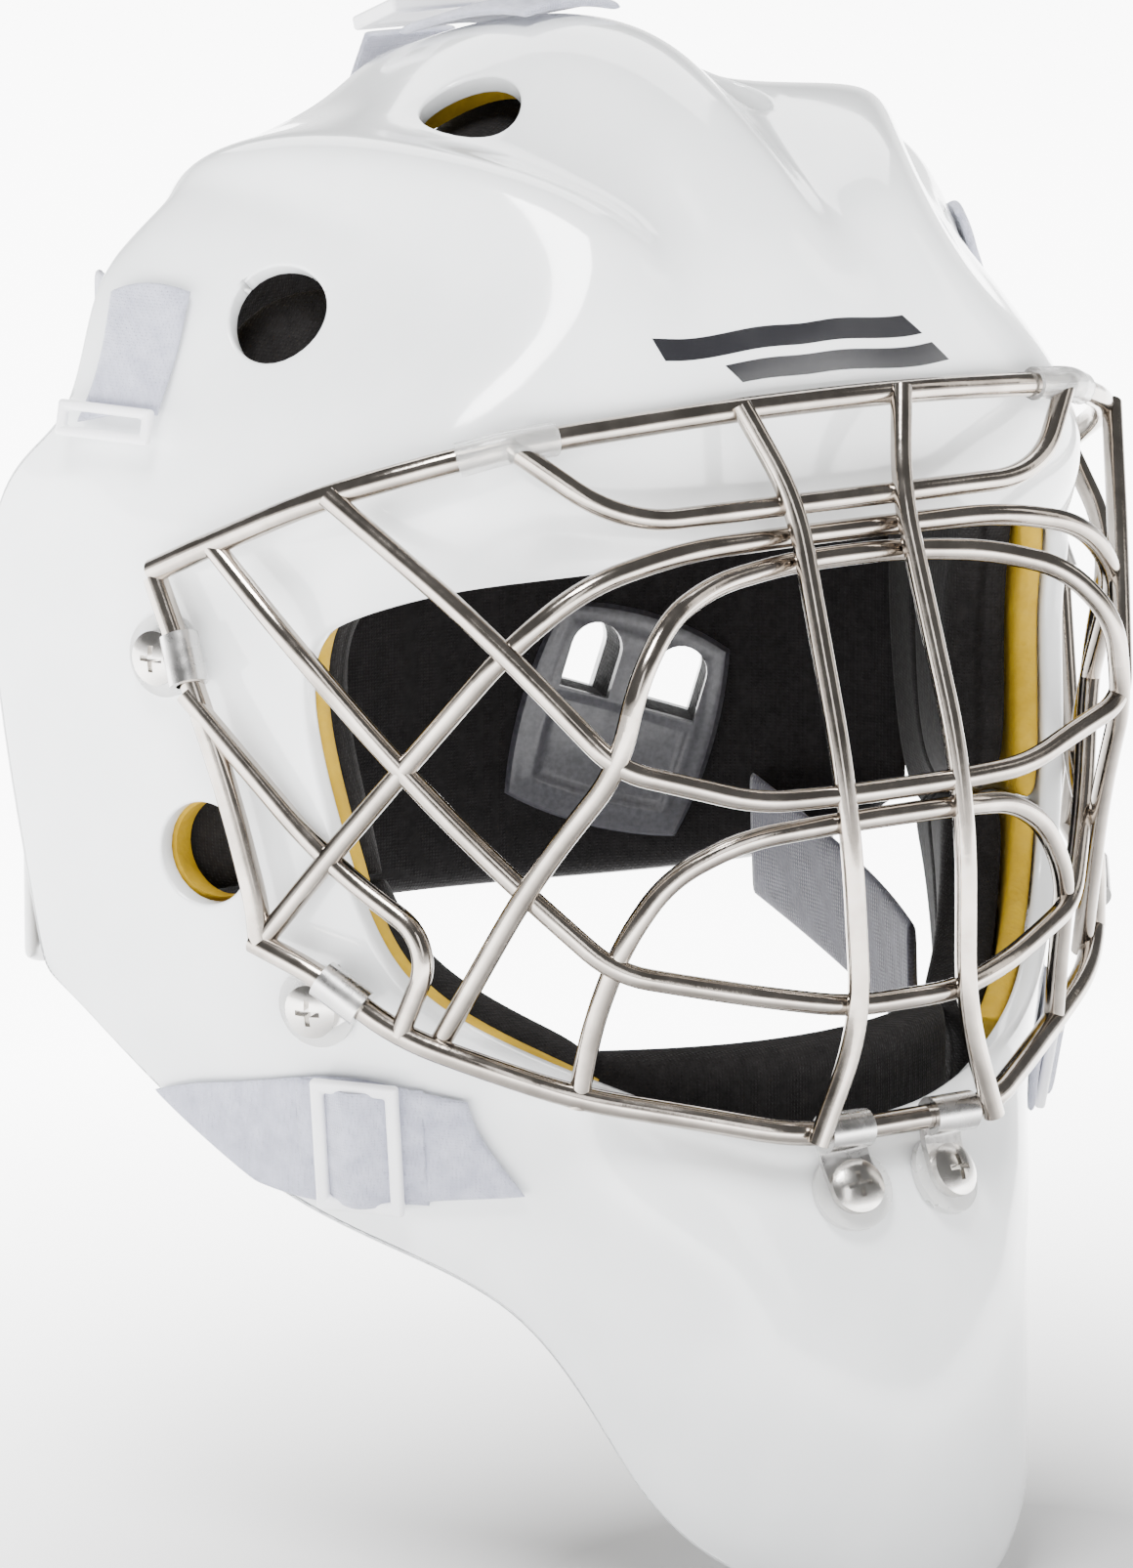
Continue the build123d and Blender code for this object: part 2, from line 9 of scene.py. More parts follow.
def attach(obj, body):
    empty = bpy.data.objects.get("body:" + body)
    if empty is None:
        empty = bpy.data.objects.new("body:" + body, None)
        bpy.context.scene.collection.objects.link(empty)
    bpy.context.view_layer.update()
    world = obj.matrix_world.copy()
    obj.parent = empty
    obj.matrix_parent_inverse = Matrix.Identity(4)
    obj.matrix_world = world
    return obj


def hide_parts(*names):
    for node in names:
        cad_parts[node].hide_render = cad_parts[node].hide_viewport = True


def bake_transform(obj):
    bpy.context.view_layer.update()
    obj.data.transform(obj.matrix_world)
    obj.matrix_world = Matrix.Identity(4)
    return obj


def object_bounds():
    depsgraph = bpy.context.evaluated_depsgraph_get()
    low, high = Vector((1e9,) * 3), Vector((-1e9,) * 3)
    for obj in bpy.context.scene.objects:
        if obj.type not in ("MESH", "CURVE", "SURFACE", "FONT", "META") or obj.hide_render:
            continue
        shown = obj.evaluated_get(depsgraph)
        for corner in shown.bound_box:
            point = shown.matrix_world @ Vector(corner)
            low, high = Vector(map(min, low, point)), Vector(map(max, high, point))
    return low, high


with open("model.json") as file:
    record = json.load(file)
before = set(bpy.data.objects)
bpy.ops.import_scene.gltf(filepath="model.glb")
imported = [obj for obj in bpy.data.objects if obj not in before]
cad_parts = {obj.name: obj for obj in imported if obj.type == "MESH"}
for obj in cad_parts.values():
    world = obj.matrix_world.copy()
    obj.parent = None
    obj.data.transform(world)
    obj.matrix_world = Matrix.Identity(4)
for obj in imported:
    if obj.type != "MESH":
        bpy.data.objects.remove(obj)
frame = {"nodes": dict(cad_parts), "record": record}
cad_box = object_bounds()

MM = 0.001
SHELL_THICKNESS = 4.5
LINER_THICKNESS = 5.0
LAYER_GAP = 0.35
LINER_TOP = SHELL_THICKNESS + LAYER_GAP
LINER_BOTTOM = LINER_TOP + LINER_THICKNESS
PAD_TOP = LINER_BOTTOM + 0.8
PAD_THICKNESS = 13.0
VENT_RADIUS = 10.0
STRAP_THICKNESS = 2.0

# ---- shell surface: the same meridians as the CAD shell, in millimetres -------------------------
MERIDIANS = [
    [(0, -79, 60), (0, -77.5, 79), (0, -76, 98), (0, -68, 117), (0, -52, 133),
     (0, -30, 146), (0, 5, 153.5), (0, 50, 144)],
    [(14, -78.5, 59.7), (13, -77, 79), (11, -75.5, 98), (11, -66, 117), (12, -49.5, 131),
     (14, -27, 142.5), (17, 5, 149.5), (18, 48, 140.5)],
    [(30, -77, 59.3), (30, -76.5, 78), (27, -74.5, 97), (23, -64, 115), (25, -46, 125),
     (33, -20, 133.5), (39, 6, 138.5), (38, 41, 133)],
    [(48, -72, 57.5), (48, -73.5, 77), (44, -71.5, 97), (38, -65, 115), (42, -49, 127.5),
     (57, -22, 134), (71, 7, 134), (68, 34, 125)],
    [(70, -62, 55), (71, -67, 73), (67, -63, 89), (61, -55, 101), (61, -40, 112),
     (68, -20, 121), (81, 7, 126), (83, 23, 119)],
    [(84, -50, 50), (87, -50, 66), (86, -42, 81), (83, -32, 94), (82, -18, 105),
     (87, -5, 112), (94, 8, 113), (99, 20, 106)],
    [(91, -43, 44), (95, -31, 54), (98, -20, 63), (101, -10, 70), (103, -2, 76),
     (106, 5.5, 79.5), (108, 12, 81), (109.5, 18, 82)],
    [(91.3, -41, 30), (96, -28, 33), (101, -14, 36), (106, 0, 40), (110, 12, 44),
     (113, 23, 48), (114.5, 30, 51), (115, 35, 53)],
    [(88, -46, 6), (94, -31, 5), (100, -17, 4), (105, -5, 2), (109, 7, -2),
     (111.5, 15, -7), (113, 20, -11), (113.7, 23, -14)],
    [(80, -54, -19), (87, -42, -22), (92, -32, -25), (96.5, -22, -28), (101, -12, -30),
     (106, -1, -31), (109, 6, -32), (111.3, 11, -32)],
    [(66, -68, -32), (72, -60, -39), (77, -51.5, -45), (81, -44, -50.5), (84, -38, -55),
     (86.5, -33, -59), (88.5, -29.5, -62), (90, -27, -65)],
    [(48, -82, -40.5), (54, -78.5, -48), (57.5, -74, -56), (59, -70.5, -64),
     (60.5, -68.5, -71), (61.5, -67.5, -77), (62, -67, -82), (62, -66.5, -86)],
    [(27, -90, -46.5), (35, -95, -55), (40, -97, -68), (41, -95, -83), (43, -91.5, -97),
     (44.5, -88.5, -108), (45, -87.5, -115), (45, -87, -120)],
    [(14, -92.5, -49), (19, -102, -56), (23, -108, -69), (26, -111, -85),
     (28, -111.5, -101), (29, -111, -116), (29.5, -110, -128), (28, -108, -137)],
    [(0, -93, -50), (0, -105, -55), (0, -112, -68), (0, -116, -85), (0, -119, -102),
     (0, -120.5, -118), (0, -121, -132), (0, -120, -143)],
]
LAST = len(MERIDIANS) - 1
LAST_ROW = 7.0
OVERRUN = 5
HEAD_CENTRE = np.array([0.0, 25.0, 10.0])
MIRROR = np.array([-1.0, 1.0, 1.0])


def spline_through(points, places):
    """Natural cubic spline through points numbered 0, 1, 2 and on, read at fractional places."""
    points = np.asarray(points, float)
    places = np.asarray(places, float)
    count = len(points)
    flat = points.reshape(count, -1)
    matrix = 4 * np.eye(count) + np.eye(count, k=1) + np.eye(count, k=-1)
    matrix[0] = np.eye(count)[0]
    matrix[-1] = np.eye(count)[-1]
    change = np.zeros_like(flat)
    change[1:-1] = 6 * (flat[2:] - 2 * flat[1:-1] + flat[:-2])
    bend = np.linalg.solve(matrix, change)
    low = np.clip(np.floor(places).astype(int), 0, count - 2)
    t = (places - low)[:, None]
    s = 1 - t
    curve = s * flat[low] + t * flat[low + 1] + ((s**3 - s) * bend[low] + (t**3 - t) * bend[low + 1]) / 6
    return curve.reshape((len(places),) + points.shape[1:])


RIGHT = np.array(MERIDIANS, float) * MIRROR
FULL_TURN = np.concatenate([RIGHT[OVERRUN:0:-1] * MIRROR, RIGHT, RIGHT[-2:-2 - OVERRUN:-1] * MIRROR])


def outer_surface(around, along):
    across = spline_through(FULL_TURN, np.asarray(around, float) + OVERRUN)
    return np.swapaxes(spline_through(np.swapaxes(across, 0, 1), along), 0, 1)


def outward(around, along):
    step = 0.02
    around = np.asarray(around, float)
    along = np.asarray(along, float)
    turn = outer_surface(around + step, along) - outer_surface(around - step, along)
    run = outer_surface(around, along + step) - outer_surface(around, along - step)
    normal = np.cross(run, turn)
    return normal / np.linalg.norm(normal, axis=2, keepdims=True)


def on_surface(place, lift=0.0):
    """Point and unit normal of the right half's outer surface at one (around, along)."""
    normal = outward([place[0]], [place[1]])[0, 0]
    return outer_surface([place[0]], [place[1]])[0, 0] + lift * normal, normal


# ---- pieces from meshes --------------------------------------------------------------------------
def piece(name, points, faces, material, body="mask", slot=None, smooth=True):
    """New object from points in millimetres, riding on a body unless that is None."""
    mesh = bpy.data.meshes.new(name)
    mesh.from_pydata((np.asarray(points, float) * MM).tolist(), [], faces)
    mesh.validate()
    mesh.polygons.foreach_set("use_smooth", [smooth] * len(mesh.polygons))
    mesh.materials.append(material)
    thing = bpy.data.objects.new(name, mesh)
    bpy.context.scene.collection.objects.link(thing)
    if body:
        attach(thing, body)
    return thing


def mirror_points(points, faces):
    return np.asarray(points, float) * MIRROR, [tuple(reversed(face)) for face in faces]


def pair(name, points, faces, material, body="mask", slot=None, replaces=None):
    """A right piece and its mirror image, each standing for its CAD node."""
    made = []
    for side, (p, f) in (("right", (points, faces)), ("left", mirror_points(points, faces))):
        thing = piece(f"{name}_{side}", p, f, material, body, slot)
        if replaces:
            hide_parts(f"{replaces}_{side}")
        made.append(thing)
    return made


def closed_grid(top, bottom):
    """Closed mesh between two grids of the same size, joined round their edges."""
    rows, cols = top.shape[:2]
    points = np.concatenate([top.reshape(-1, 3), bottom.reshape(-1, 3)])
    shift = rows * cols
    faces = []
    for i in range(rows - 1):
        for j in range(cols - 1):
            a, b, c, d = i * cols + j, i * cols + j + 1, (i + 1) * cols + j + 1, (i + 1) * cols + j
            faces.append((a, b, c, d))
            faces.append((a + shift, d + shift, c + shift, b + shift))
    loop = [(0, j) for j in range(cols)] + [(i, cols - 1) for i in range(1, rows)]
    loop += [(rows - 1, j) for j in range(cols - 2, -1, -1)] + [(i, 0) for i in range(rows - 2, 0, -1)]
    ring = [i * cols + j for i, j in loop]
    for a, b in zip(ring, ring[1:] + ring[:1]):
        faces.append((b, a, a + shift, b + shift))
    return points, faces


def eased(steps):
    """Shares 0 to 1, closer together at both ends, where edges are rounded."""
    return 0.5 - 0.5 * np.cos(np.linspace(0, math.pi, steps))


def swell(shares, power, sharpness=2.0):
    return np.clip(1 - np.abs(2 * shares - 1) ** power, 0, 1) ** (1 / sharpness)


def rounded_slab(top, bottom, u, v, power_u=14.0, power_v=14.0, crown=0.0, grooves=()):
    """Closed block between two grids, thinned to nothing round its edges and puffed in its middle."""
    full = swell(u, power_u)[:, None] * swell(v, power_v)[None, :]
    puff = 1 + crown * np.sin(math.pi * u)[:, None] * np.sin(math.pi * v)[None, :]
    for axis, at, width, deep in grooves:
        dip = deep * np.exp(-(((u if axis == "u" else v) - at) / width) ** 2)
        puff = puff - (dip[:, None] if axis == "u" else dip[None, :])
    middle = 0.5 * (top + bottom)
    half = 0.5 * (bottom - top)
    return closed_grid(middle - half * full[..., None],
                       middle + half * (full * (2 * puff - 1))[..., None])


def arch_prism(matrix, width, height, depth, steps=14):
    """Closed arched prism, upright along x, for cutting a window. Sizes are in millimetres."""
    radius = width / 2
    straight = (height - radius) / 2
    outline = [(-straight, -radius), (straight, -radius)]
    outline += [(straight + radius * math.cos(t), radius * math.sin(t))
                for t in np.linspace(-math.pi / 2, math.pi / 2, steps)[1:-1]]
    outline += [(straight, radius), (-straight, radius)]
    count = len(outline)
    points = [matrix @ Vector((x * MM, y * MM, z * MM)) for z in (-depth, depth) for x, y in outline]
    faces = [tuple(reversed(range(count))), tuple(range(count, 2 * count))]
    faces += [(i, (i + 1) % count, (i + 1) % count + count, i + count) for i in range(count)]
    return points, faces


def cut(thing, prisms, angle=35):
    """Cut closed prisms, in metres, out of a piece, and keep the new edges sharp."""
    points, faces = [], []
    for p, f in prisms:
        faces += [tuple(index + len(points) for index in face) for face in f]
        points += [tuple(point) for point in p]
    mesh = bpy.data.meshes.new("cutter")
    mesh.from_pydata(points, [], faces)
    cutter = bpy.data.objects.new("cutter", mesh)
    bpy.context.scene.collection.objects.link(cutter)
    boolean = thing.modifiers.new("holes", "BOOLEAN")
    boolean.operation = "DIFFERENCE"
    boolean.solver = "EXACT"
    boolean.object = cutter
    bpy.context.view_layer.update()
    done = bpy.data.meshes.new_from_object(thing.evaluated_get(bpy.context.evaluated_depsgraph_get()))
    thing.modifiers.remove(boolean)
    thing.data = done
    bpy.data.objects.remove(cutter)
    done.set_sharp_from_angle(angle=math.radians(angle))


# ---- materials -----------------------------------------------------------------------------------
def node_material(name):
    material = bpy.data.materials.new(name)
    material.use_nodes = True
    tree = material.node_tree
    return material, tree, tree.nodes["Principled BSDF"]


def add(tree, kind, **values):
    node = tree.nodes.new(kind)
    for key, value in values.items():
        if hasattr(node, key):
            setattr(node, key, value)
        else:
            node.inputs[key.replace("_", " ")].default_value = value
    return node


def coordinates(tree, scale):
    place = add(tree, "ShaderNodeTexCoord")
    mapping = add(tree, "ShaderNodeMapping")
    mapping.inputs["Scale"].default_value = scale if hasattr(scale, "__len__") else (scale,) * 3
    tree.links.new(place.outputs["Object"], mapping.inputs["Vector"])
    return mapping.outputs["Vector"]


def noise(tree, scale, detail=3.0, size=1.0):
    node = add(tree, "ShaderNodeTexNoise", Scale=size, Detail=detail)
    tree.links.new(coordinates(tree, scale), node.inputs["Vector"])
    return node.outputs["Fac"]


def ramp(tree, source, low, high, start=0.35, end=0.65):
    node = add(tree, "ShaderNodeMapRange")
    node.inputs["From Min"].default_value = start
    node.inputs["From Max"].default_value = end
    node.inputs["To Min"].default_value = low
    node.inputs["To Max"].default_value = high
    tree.links.new(source, node.inputs["Value"])
    return node.outputs["Result"]


def tinted(tree, source, dark, light):
    node = add(tree, "ShaderNodeMix", data_type="RGBA")
    tree.links.new(source, node.inputs["Factor"])
    for socket in node.inputs:
        if socket.type == "RGBA" and socket.name == "A":
            socket.default_value = (*dark, 1)
        if socket.type == "RGBA" and socket.name == "B":
            socket.default_value = (*light, 1)
    return [out for out in node.outputs if out.type == "RGBA"][0]


def bumped(tree, shader, heights):
    """Stack bumps, given as (height source, strength, distance in metres)."""
    last = None
    for source, strength, distance in heights:
        node = add(tree, "ShaderNodeBump")
        node.inputs["Strength"].default_value = strength
        node.inputs["Distance"].default_value = distance
        tree.links.new(source, node.inputs["Height"])
        if last is not None:
            tree.links.new(last, node.inputs["Normal"])
        last = node.outputs["Normal"]
    tree.links.new(last, shader.inputs["Normal"])


def gloss_material(name, dark, light, rough=(0.10, 0.2), coat=0.6, orange_peel=0.06, grain=60):
    material, tree, shader = node_material(name)
    tree.links.new(tinted(tree, ramp(tree, noise(tree, grain), 0, 1), dark, light),
                   shader.inputs["Base Color"])
    tree.links.new(ramp(tree, noise(tree, 25, 4), *rough), shader.inputs["Roughness"])
    shader.inputs["Coat Weight"].default_value = coat
    shader.inputs["Coat Roughness"].default_value = 0.05
    bumped(tree, shader, [(noise(tree, 240, 2), orange_peel, 0.0006)])
    return material


def metal_material(name, dark, light, rough, scratch=(1400, 1400, 60), strength=0.05):
    material, tree, shader = node_material(name)
    shader.inputs["Metallic"].default_value = 1.0
    tree.links.new(tinted(tree, ramp(tree, noise(tree, 90, 4), 0, 1), dark, light),
                   shader.inputs["Base Color"])
    tree.links.new(ramp(tree, noise(tree, 220, 5), *rough), shader.inputs["Roughness"])
    bumped(tree, shader, [(noise(tree, scratch, 2), strength, 0.0003),
                          (noise(tree, 300, 3), strength, 0.0004)])
    return material


def foam_material(name, dark, light, rough=0.8, cell=900.0, strength=0.35):
    material, tree, shader = node_material(name)
    tree.links.new(tinted(tree, ramp(tree, noise(tree, 130, 5), 0, 1, 0.3, 0.7), dark, light),
                   shader.inputs["Base Color"])
    tree.links.new(ramp(tree, noise(tree, 400), rough - 0.08, rough + 0.08), shader.inputs["Roughness"])
    cells = add(tree, "ShaderNodeTexVoronoi", Scale=1.0)
    tree.links.new(coordinates(tree, cell), cells.inputs["Vector"])
    bumped(tree, shader, [(cells.outputs["Distance"], strength, 0.0004),
                          (noise(tree, 120, 4), 0.3, 0.0012)])
    return material


def cloth_material(name, dark, light, weave=1300.0, rough=0.85, sheen=0.4, fuzz=0.35, gloss=0.5):
    """Woven or brushed cloth: crossed threads with a light fuzz over them."""
    material, tree, shader = node_material(name)
    place = coordinates(tree, weave)
    threads = []
    for direction in ("X", "Y", "Z"):
        wave = add(tree, "ShaderNodeTexWave", wave_type="BANDS", bands_direction=direction, Scale=0.35,
                   Distortion=1.2, Detail=1.0)
        tree.links.new(place, wave.inputs["Vector"])
        threads.append(wave.outputs["Fac"])
    joined = threads[0]
    for extra in threads[1:]:
        both = add(tree, "ShaderNodeMath", operation="MULTIPLY")
        tree.links.new(joined, both.inputs[0])
        tree.links.new(extra, both.inputs[1])
        joined = both.outputs["Value"]
    mottle = noise(tree, 260, 6)
    tree.links.new(tinted(tree, ramp(tree, mottle, 0, 1, 0.3, 0.7), dark, light),
                   shader.inputs["Base Color"])
    tree.links.new(ramp(tree, noise(tree, 700), rough - 0.06, rough + 0.06), shader.inputs["Roughness"])
    shader.inputs["Sheen Weight"].default_value = sheen
    shader.inputs["Sheen Roughness"].default_value = 0.5
    shader.inputs["Specular IOR Level"].default_value = gloss
    bumped(tree, shader, [(joined, 0.5, 0.0004), (noise(tree, 1500, 5), fuzz, 0.0005)])
    return material


def clear_material(name, tint, rough=0.12, weight=0.85):
    material, tree, shader = node_material(name)
    shader.inputs["Base Color"].default_value = (*tint, 1)
    shader.inputs["Transmission Weight"].default_value = weight
    shader.inputs["IOR"].default_value = 1.45
    tree.links.new(ramp(tree, noise(tree, 150, 4), rough, rough + 0.15), shader.inputs["Roughness"])
    bumped(tree, shader, [(noise(tree, 200, 3), 0.2, 0.0006)])
    return material


WHITE = gloss_material("shell_white", (0.79, 0.81, 0.82), (0.83, 0.845, 0.855), (0.10, 0.16), 0.5)
STEEL = metal_material("rim_steel", (0.29, 0.26, 0.23), (0.42, 0.38, 0.34), (0.10, 0.2))
WIRE = metal_material("face_steel", (0.29, 0.26, 0.23), (0.42, 0.38, 0.34), (0.09, 0.19))
CLIP = metal_material("clip_steel", (0.50, 0.49, 0.48), (0.62, 0.61, 0.60), (0.2, 0.34))
SCREW = metal_material("screw_steel", (0.46, 0.44, 0.42), (0.60, 0.58, 0.55), (0.16, 0.28))
CLEAR = clear_material("clear_sleeve", (0.93, 0.93, 0.92))
WASHER = clear_material("washer_plastic", (0.90, 0.90, 0.89), 0.25, 0.55)
YELLOW = foam_material("liner_foam", (0.38, 0.23, 0.001), (0.47, 0.295, 0.003))
BLACK_PAD = cloth_material("pad_foam", (0.0022, 0.0018, 0.0018), (0.007, 0.006, 0.006),
                           sheen=0.03, gloss=0.2)
WEB = cloth_material("strap_web", (0.31, 0.32, 0.40), (0.43, 0.44, 0.53), weave=1500.0)
MOULDED = gloss_material("strap_plastic", (0.80, 0.80, 0.83), (0.86, 0.86, 0.88), (0.25, 0.4), 0.2, 0.1)
BACK_WHITE = gloss_material("backplate_plastic", (0.74, 0.75, 0.76), (0.80, 0.81, 0.82),
                            (0.25, 0.4), 0.3, 0.1)
BACK_PAD = cloth_material("backplate_foam", (0.0022, 0.0018, 0.002), (0.006, 0.005, 0.0055),
                          sheen=0.03, gloss=0.2)
CHARCOAL = gloss_material("frame_plastic", (0.030, 0.030, 0.037), (0.048, 0.047, 0.056),
                          (0.35, 0.5), 0.1, 0.35, 900)
BAND = cloth_material("band_web", (0.045, 0.045, 0.058), (0.075, 0.075, 0.095), weave=1100.0)
PRINT = gloss_material("printed_black", (0.010, 0.010, 0.012), (0.018, 0.018, 0.02), (0.2, 0.3), 0.6)
MARK = {"shell": WHITE, "rim_steel": STEEL, "face_steel": WIRE, "clear_sleeve": CLEAR,
        "clip_steel": CLIP, "screw_steel": SCREW, "washer_plastic": WASHER,
        "liner_foam": YELLOW, "pad_foam": BLACK_PAD,
        "strap_web": WEB, "strap_plastic": MOULDED, "backplate_plastic": BACK_WHITE,
        "backplate_foam": BACK_PAD, "frame_plastic": CHARCOAL, "band_web": BAND}
for entry in frame["record"]["subparts"]:
    node = frame["nodes"][entry["node"]]
    for place in node.material_slots:
        place.link = "OBJECT"
        place.material = MARK[entry["material_slot"]]


# ---- shell ---------------------------------------------------------------------------------------
HALF_COLUMNS = 224
ROWS = 100
LIP = 1.3                  # radius of the shell's rounded edges
LIP_ROOM = 0.17            # share of a step along the surface that the lip takes
VENTS = [(8.1, 2.02), (5.02, 3.95), (1.77, 5.5)]
VENT_LIP = 0.7
VENT_REACH = 12            # how far along a vent's axis its wall of the shell can be


def lip_profile(thickness, radius, steps=5):
    """Distances along and into the surface, from its outside round an edge to its inside."""
    turns = np.linspace(0, math.pi / 2, steps)
    outside = [(radius * (1 - math.sin(t)), radius * (1 - math.cos(t))) for t in turns]
    inside = [(along, thickness - into) for along, into in reversed(outside)]
    return outside + inside


def shell_mesh():
    around = np.linspace(0, LAST, HALF_COLUMNS + 1)
    along = np.linspace(LIP_ROOM, LAST_ROW - LIP_ROOM, ROWS)
    profile = lip_profile(SHELL_THICKNESS, LIP)

    def whole(half):
        return np.concatenate([half, half[-2:0:-1] * MIRROR])

    outside = whole(outer_surface(around, along))
    normals = whole(outward(around, along))
    inside = outside - SHELL_THICKNESS * normals
    columns = len(outside)
    keep = np.ones((columns, ROWS - 1), bool)
    walls = {}
    for vent in VENTS:
        for side in (1, -1):
            centre, axis = on_surface(vent)
            flip = np.array([side, 1, 1])
            centre, axis = centre * flip, axis * flip
            away = outside - centre
            height = away @ axis
            flat = away - height[..., None] * axis
            radius = np.linalg.norm(flat, axis=2)
            hit = (radius < VENT_RADIUS) & (np.abs(height) < VENT_REACH)
            near = hit | np.roll(hit, -1, 0)
            gone = near[:, :-1] | near[:, 1:]
            keep &= ~gone
            ring = np.zeros_like(hit)
            for di in (0, 1):
                for dj in (0, 1):
                    ring[:, dj:ROWS - 1 + dj] |= np.roll(gone, di, 0)
            for i, j in zip(*np.nonzero(ring & ~hit)):
                direction = flat[i, j] / radius[i, j]
                level = height[i, j] * (VENT_RADIUS / radius[i, j]) ** 2
                walls[i, j] = (centre + level * axis, direction, axis)
    points = [outside.reshape(-1, 3), inside.reshape(-1, 3)]
    total = columns * ROWS
    faces = []
    for i in range(columns):
        after = (i + 1) % columns
        for j in range(ROWS - 1):
            if keep[i, j]:
                a, b, c, d = i * ROWS + j, i * ROWS + j + 1, after * ROWS + j + 1, after * ROWS + j
                faces.append((a, b, c, d))
                faces.append((d + total, c + total, b + total, a + total))
    extra = []

    def new_point(point):
        extra.append(point)
        return 2 * total + len(extra) - 1

    hole_profile = lip_profile(SHELL_THICKNESS, VENT_LIP, 4)
    chains = {}
    for (i, j), (base, direction, axis) in walls.items():
        line = [base + (VENT_RADIUS + out) * direction - into * axis for out, into in hole_profile]
        index = i * ROWS + j
        points[0][index] = line[0]
        points[1][index] = line[-1]
        chains[index] = [index] + [new_point(p) for p in line[1:-1]] + [index + total]
    border = {}                # a dict keeps the edges in order, where a set would not
    for face in faces:
        if max(face) < total:
            for a, b in zip(face, face[1:] + face[:1]):
                border[a, b] = True
    for a, b in list(border):
        if (b, a) not in border and a in chains and b in chains:
            for k in range(len(chains[a]) - 1):
                faces.append((chains[b][k], chains[a][k], chains[a][k + 1], chains[b][k + 1]))
    for row, edge in ((0, 0.0), (ROWS - 1, LAST_ROW)):
        rim = whole(outer_surface(around, [edge]))[:, 0]
        rim_normal = whole(outward(around, [edge]))[:, 0]
        run = outside[:, row] - rim
        run /= np.linalg.norm(run, axis=1, keepdims=True)
        previous = [i * ROWS + row for i in range(columns)]
        for out, into in profile:
            current = [new_point(rim[i] + out * run[i] - into * rim_normal[i]) for i in range(columns)]
            for i in range(columns):
                after = (i + 1) % columns
                quad = (previous[i], previous[after], current[after], current[i])
                faces.append(quad if row == 0 else tuple(reversed(quad)))
            previous = current
        for i in range(columns):
            after = (i + 1) % columns
            quad = (previous[i], previous[after], after * ROWS + row + total, i * ROWS + row + total)
            faces.append(quad if row == 0 else tuple(reversed(quad)))
    return np.concatenate(points + [np.array(extra)]), faces


shell_piece = piece("shell_moulding", *shell_mesh(), WHITE, slot="shell")
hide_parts("shell")


# ---- lining and pads ------------------------------------------------------------------------------
LINER_HOLES = (9.5, 15.0, 15.0)      # radii behind the vents


def padding(around, along, top, front, rear=None, steps=(70, 50), towards_head=True, **shape):
    """Foam under the shell, 'front' thick at the rim and 'rear' thick at its back edge."""
    u, v = eased(steps[0]), eased(steps[1])
    a = around[0] + u * (around[1] - around[0])
    l = along[0] + v * (along[1] - along[0])
    normal = outward(a, l)
    surface = outer_surface(a, l)
    back = surface - top * normal
    aim = HEAD_CENTRE - surface
    aim = aim / np.linalg.norm(aim, axis=2, keepdims=True) if towards_head else -normal
    depth = front + (v * ((front if rear is None else rear) - front))[None, :, None]
    return rounded_slab(back, back + depth * aim, u, v, **shape)


def vent_prisms(side, steps=40):
    prisms = []
    for vent, radius in zip(VENTS, LINER_HOLES):
        centre, normal = on_surface(vent)
        flip = np.array([side, 1, 1])
        matrix = plane_at(centre * flip, normal * flip, (centre + np.array([0, 0, 50])) * flip)
        turns = np.linspace(0, 2 * math.pi, steps + 1)[:-1]
        ring = [(radius * math.cos(t), radius * math.sin(t)) for t in turns]
        points = [matrix @ Vector((x * MM, y * MM, z * MM)) for z in (-14, 6) for x, y in ring]
        faces = [tuple(reversed(range(steps))), tuple(range(steps, 2 * steps))]
        faces += [(i, (i + 1) % steps, (i + 1) % steps + steps, i + steps) for i in range(steps)]
        prisms.append((points, faces))
    return prisms


def plane_at(origin, normal, towards):
    """Matrix with z along the normal and x towards a point. Places are in millimetres."""
    z = Vector(normal).normalized()
    x = Vector(towards) - Vector(origin)
    x = (x - z * x.dot(z)).normalized()
    matrix = Matrix((x, z.cross(x), z)).transposed().to_4x4()
    matrix.translation = Vector(origin) * MM
    return matrix


for name, reach in (("upper", (0.15, 8.42)), ("lower", (8.47, 10.9))):
    mesh = padding(reach, (0.04, 6.6), LINER_TOP, LINER_THICKNESS, steps=(130, 60), towards_head=False,
                   power_u=60.0, power_v=60.0)
    for side, thing in zip((-1, 1), pair(f"liner_{name}", *mesh, YELLOW, slot="liner_foam")):
        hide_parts("liner_right" if side < 0 else "liner_left")
        cut(thing, vent_prisms(1 if side < 0 else -1))

PAD_REAR = 8.0
for name, around, along in (("pad_forehead", (-3.0, 3.0), (0.5, 3.2)),
                            ("pad_crown", (-3.0, 3.0), (3.4, 6.4))):
    pad = piece(name + "_foam", *padding(around, along, PAD_TOP, PAD_THICKNESS, crown=0.05,
                                         grooves=[("u", 0.5, 0.015, 0.3), ("v", 0.5, 0.02, 0.3)]),
                BLACK_PAD, slot="pad_foam")
    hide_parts(name)
for name, around, along in (("pad_temple", (3.2, 8.40), (0.14, 4.6)),
                            ("pad_cheek", (8.45, 10.95), (0.14, 4.4))):
    mesh = padding(around, along, PAD_TOP, PAD_THICKNESS, PAD_REAR, power_v=22.0,
                   grooves=[("v", 0.52, 0.02, 0.35)])
    for side, pad in zip(("right", "left"), pair(name + "_foam", *mesh, BLACK_PAD, slot="pad_foam")):
        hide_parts(f"{name}_{side}")

